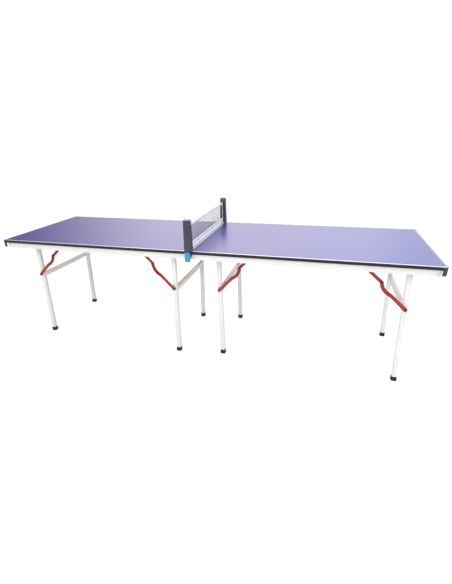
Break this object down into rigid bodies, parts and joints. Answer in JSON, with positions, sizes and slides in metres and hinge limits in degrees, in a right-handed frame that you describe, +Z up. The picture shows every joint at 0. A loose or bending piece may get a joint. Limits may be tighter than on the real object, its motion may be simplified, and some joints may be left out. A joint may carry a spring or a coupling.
{
  "type": "folding mini table tennis table",
  "caption": "Narrow table tennis table in matching halves, each on folding leg frames with slotted stays, with a clip-on net.",
  "frame": {"origin": "middle of the floor area under the net, at the soles of the feet", "axes": "+X along the table's length across the net, +Y across its width to the far side, +Z up"},
  "size_m": [2.445, 0.753, 0.86],
  "materials": {
    "blue_board": "satin lacquer",
    "edge_band": "satin",
    "black_plastic": "satin",
    "white_steel": "powder coat",
    "black_rubber": "matt",
    "red_steel": "gloss paint",
    "black_fasteners": "blackened",
    "zinc_fasteners": "zinc plated",
    "post_plastic": "gloss",
    "clip_plastic": "gloss",
    "net": "open mesh",
    "tape": "woven",
    "cord": "braided"
  },
  "bodies": {
    "left_half": {"left_top_board": "blue_board", "left_edge_band": "edge_band", "left_corner_guards": "black_plastic", "left_side_rail_near": "white_steel", "left_side_rail_far": "white_steel", "left_end_rail": "white_steel", "left_seam_rail": "white_steel", "left_leg_brackets": "white_steel", "left_hinge_bolts": "zinc_fasteners", "left_stay_anchor_rivets": "black_fasteners", "net_post_near": "post_plastic", "net_post_far": "post_plastic", "clip_pins": "zinc_fasteners", "clip_springs": "zinc_fasteners", "net_mesh": "net", "net_tapes": "tape", "net_side_rods": "zinc_fasteners", "net_cord": "cord"},
    "right_half": {"right_top_board": "blue_board", "right_edge_band": "edge_band", "right_corner_guards": "black_plastic", "right_side_rail_near": "white_steel", "right_side_rail_far": "white_steel", "right_end_rail": "white_steel", "right_seam_rail": "white_steel", "right_leg_brackets": "white_steel", "right_hinge_bolts": "zinc_fasteners", "right_stay_anchor_rivets": "black_fasteners", "seam_pins": "zinc_fasteners"},
    "left_outer_leg_frame": {"left_outer_legs": "white_steel", "left_outer_crossbar": "white_steel", "left_outer_foot_caps": "black_rubber", "left_outer_stay_rivets": "black_fasteners"},
    "left_outer_lower_stays": {"left_outer_lower_stay_links": "red_steel"},
    "left_outer_upper_stays": {"left_outer_upper_stay_links": "red_steel", "left_outer_slot_rivets": "zinc_fasteners"},
    "left_inner_leg_frame": {"left_inner_legs": "white_steel", "left_inner_crossbar": "white_steel", "left_inner_foot_caps": "black_rubber", "left_inner_stay_rivets": "black_fasteners"},
    "left_inner_lower_stays": {"left_inner_lower_stay_links": "red_steel"},
    "left_inner_upper_stays": {"left_inner_upper_stay_links": "red_steel", "left_inner_slot_rivets": "zinc_fasteners"},
    "right_outer_leg_frame": {"right_outer_legs": "white_steel", "right_outer_crossbar": "white_steel", "right_outer_foot_caps": "black_rubber", "right_outer_stay_rivets": "black_fasteners"},
    "right_outer_lower_stays": {"right_outer_lower_stay_links": "red_steel"},
    "right_outer_upper_stays": {"right_outer_upper_stay_links": "red_steel", "right_outer_slot_rivets": "zinc_fasteners"},
    "right_inner_leg_frame": {"right_inner_legs": "white_steel", "right_inner_crossbar": "white_steel", "right_inner_foot_caps": "black_rubber", "right_inner_stay_rivets": "black_fasteners"},
    "right_inner_lower_stays": {"right_inner_lower_stay_links": "red_steel"},
    "right_inner_upper_stays": {"right_inner_upper_stay_links": "red_steel", "right_inner_slot_rivets": "zinc_fasteners"},
    "clip_near": {"clip_lever_near": "clip_plastic"},
    "clip_far": {"clip_lever_far": "clip_plastic"}
  },
  "joints": [
    {"name": "halves_pull_apart", "type": "slide", "parent": "left_half", "child": "right_half", "axis": [1, 0, 0], "range_m": [0, 0.3]},
    {"name": "left_outer_leg_fold", "type": "hinge", "parent": "left_half", "child": "left_outer_leg_frame", "pos_m": [-1.095, 0.0185, 0.646], "axis": [0, -1, 0], "range_deg": [0, 93]},
    {"name": "left_outer_lower_stay_turn", "type": "hinge", "parent": "left_outer_leg_frame", "child": "left_outer_lower_stays", "pos_m": [-1.10589, 0.0185, 0.43828], "axis": [0, -1, 0], "range_deg": [0, 45.73]},
    {"name": "left_outer_upper_stay_turn", "type": "hinge", "parent": "left_half", "child": "left_outer_upper_stays", "pos_m": [-0.90326, 0.0185, 0.63595], "axis": [0, -1, 0], "range_deg": [-45.3, 0]},
    {"name": "left_inner_leg_fold", "type": "hinge", "parent": "left_half", "child": "left_inner_leg_frame", "pos_m": [-0.128, -0.0185, 0.646], "axis": [0, 1, 0], "range_deg": [0, 88]},
    {"name": "left_inner_lower_stay_turn", "type": "hinge", "parent": "left_inner_leg_frame", "child": "left_inner_lower_stays", "pos_m": [-0.13236, -0.0185, 0.43805], "axis": [0, 1, 0], "range_deg": [0, 43.27]},
    {"name": "left_inner_upper_stay_turn", "type": "hinge", "parent": "left_half", "child": "left_inner_upper_stays", "pos_m": [-0.31996, -0.0185, 0.65002], "axis": [0, 1, 0], "range_deg": [-42.86, 0]},
    {"name": "right_outer_leg_fold", "type": "hinge", "parent": "right_half", "child": "right_outer_leg_frame", "pos_m": [1.095, -0.0185, 0.646], "axis": [0, 1, 0], "range_deg": [0, 93]},
    {"name": "right_outer_lower_stay_turn", "type": "hinge", "parent": "right_outer_leg_frame", "child": "right_outer_lower_stays", "pos_m": [1.10589, -0.0185, 0.43828], "axis": [0, 1, 0], "range_deg": [0, 45.73]},
    {"name": "right_outer_upper_stay_turn", "type": "hinge", "parent": "right_half", "child": "right_outer_upper_stays", "pos_m": [0.90326, -0.0185, 0.63595], "axis": [0, 1, 0], "range_deg": [-45.3, 0]},
    {"name": "right_inner_leg_fold", "type": "hinge", "parent": "right_half", "child": "right_inner_leg_frame", "pos_m": [0.128, 0.0185, 0.646], "axis": [0, -1, 0], "range_deg": [0, 88]},
    {"name": "right_inner_lower_stay_turn", "type": "hinge", "parent": "right_inner_leg_frame", "child": "right_inner_lower_stays", "pos_m": [0.13236, 0.0185, 0.43805], "axis": [0, -1, 0], "range_deg": [0, 43.27]},
    {"name": "right_inner_upper_stay_turn", "type": "hinge", "parent": "right_half", "child": "right_inner_upper_stays", "pos_m": [0.31996, 0.0185, 0.65002], "axis": [0, -1, 0], "range_deg": [-42.86, 0]},
    {"name": "clip_near_squeeze", "type": "hinge", "parent": "left_half", "child": "clip_near", "pos_m": [0, -0.363, 0.684], "axis": [-1, 0, 0], "range_deg": [0, 20], "stiffness_Nm_per_rad": 0.6, "springref_deg": -20.05},
    {"name": "clip_far_squeeze", "type": "hinge", "parent": "left_half", "child": "clip_far", "pos_m": [0, 0.363, 0.684], "axis": [1, 0, 0], "range_deg": [0, 20], "stiffness_Nm_per_rad": 0.6, "springref_deg": -20.05}
  ],
  "couplings": [
    {"joint": "left_outer_lower_stay_turn", "follows": "left_outer_leg_fold", "ratio": 0.49167},
    {"joint": "left_outer_upper_stay_turn", "follows": "left_outer_leg_fold", "ratio": -0.487},
    {"joint": "left_inner_lower_stay_turn", "follows": "left_inner_leg_fold", "ratio": 0.49167},
    {"joint": "left_inner_upper_stay_turn", "follows": "left_inner_leg_fold", "ratio": -0.487},
    {"joint": "right_outer_lower_stay_turn", "follows": "right_outer_leg_fold", "ratio": 0.49167},
    {"joint": "right_outer_upper_stay_turn", "follows": "right_outer_leg_fold", "ratio": -0.487},
    {"joint": "right_inner_lower_stay_turn", "follows": "right_inner_leg_fold", "ratio": 0.49167},
    {"joint": "right_inner_upper_stay_turn", "follows": "right_inner_leg_fold", "ratio": -0.487}
  ]
}
